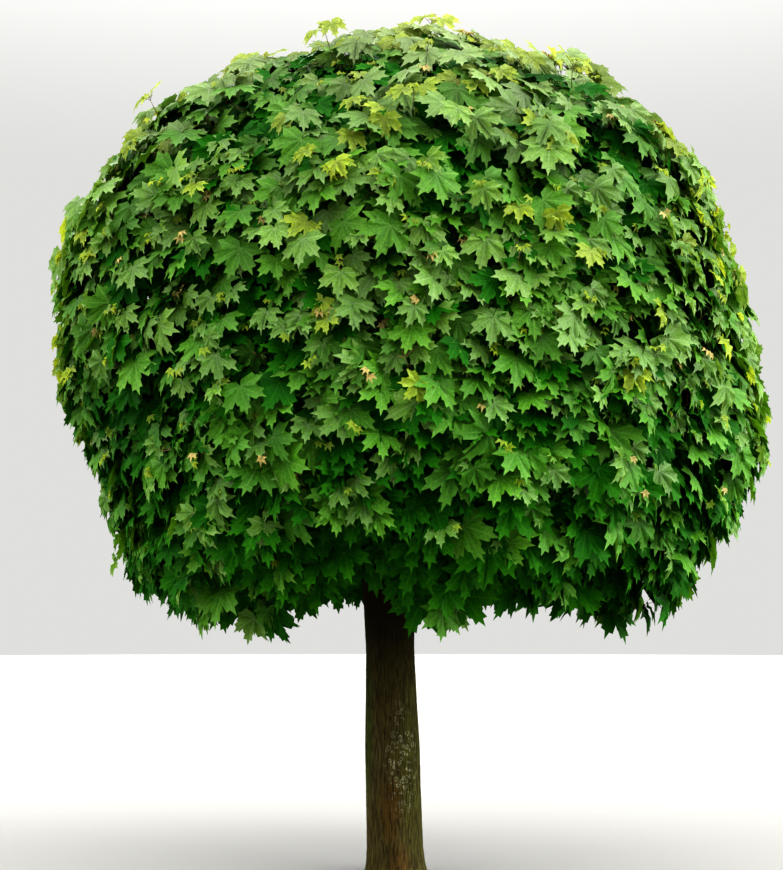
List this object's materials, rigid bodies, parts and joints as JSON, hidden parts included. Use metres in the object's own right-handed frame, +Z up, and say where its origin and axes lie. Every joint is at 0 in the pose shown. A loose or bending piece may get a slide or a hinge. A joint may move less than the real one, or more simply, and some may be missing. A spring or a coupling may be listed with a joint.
{
  "type": "globe maple tree",
  "caption": "Globe-headed maple: a short straight trunk under a dense, nearly spherical dome of pointed lobed leaves, rooted at a flat ground cut.",
  "frame": {"origin": "middle of the trunk's flat cut at ground level", "axes": "+Z straight up; -Y towards the side that the source picture shows; +X to that picture's right"},
  "size_m": [3.7955, 3.8506, 4.5642],
  "materials": {
    "bark": "rough furrowed bark, matt",
    "limb_bark": "smooth young bark, matt",
    "leaf_deep": "shaded leaf, soft sheen",
    "leaf_mid": "full-grown leaf, soft sheen",
    "leaf_light": "sunlit leaf, soft sheen",
    "leaf_young": "young leaf, soft sheen",
    "leaf_bronze": "newest leaf, soft sheen"
  },
  "bodies": {
    "root": {"trunk": "bark", "bough_skirt_1": "limb_bark", "foliage_skirt_1": "leaf_deep", "bough_skirt_2": "limb_bark", "foliage_skirt_2": "leaf_deep", "bough_skirt_3": "limb_bark", "foliage_skirt_3": "leaf_deep", "bough_skirt_4": "limb_bark", "foliage_skirt_4": "leaf_deep", "bough_skirt_5": "limb_bark", "foliage_skirt_5": "leaf_deep", "bough_skirt_6": "limb_bark", "foliage_skirt_6": "leaf_deep", "bough_skirt_7": "limb_bark", "foliage_skirt_7": "leaf_deep", "bough_skirt_8": "limb_bark", "foliage_skirt_8": "leaf_deep", "bough_shoulder_1": "limb_bark", "foliage_shoulder_1": "leaf_mid", "bough_shoulder_2": "limb_bark", "foliage_shoulder_2": "leaf_mid", "bough_shoulder_3": "limb_bark", "foliage_shoulder_3": "leaf_mid", "bough_shoulder_4": "limb_bark", "foliage_shoulder_4": "leaf_mid", "bough_shoulder_5": "limb_bark", "foliage_shoulder_5": "leaf_mid", "bough_top": "limb_bark", "foliage_top": "leaf_young"}
  },
  "joints": []
}
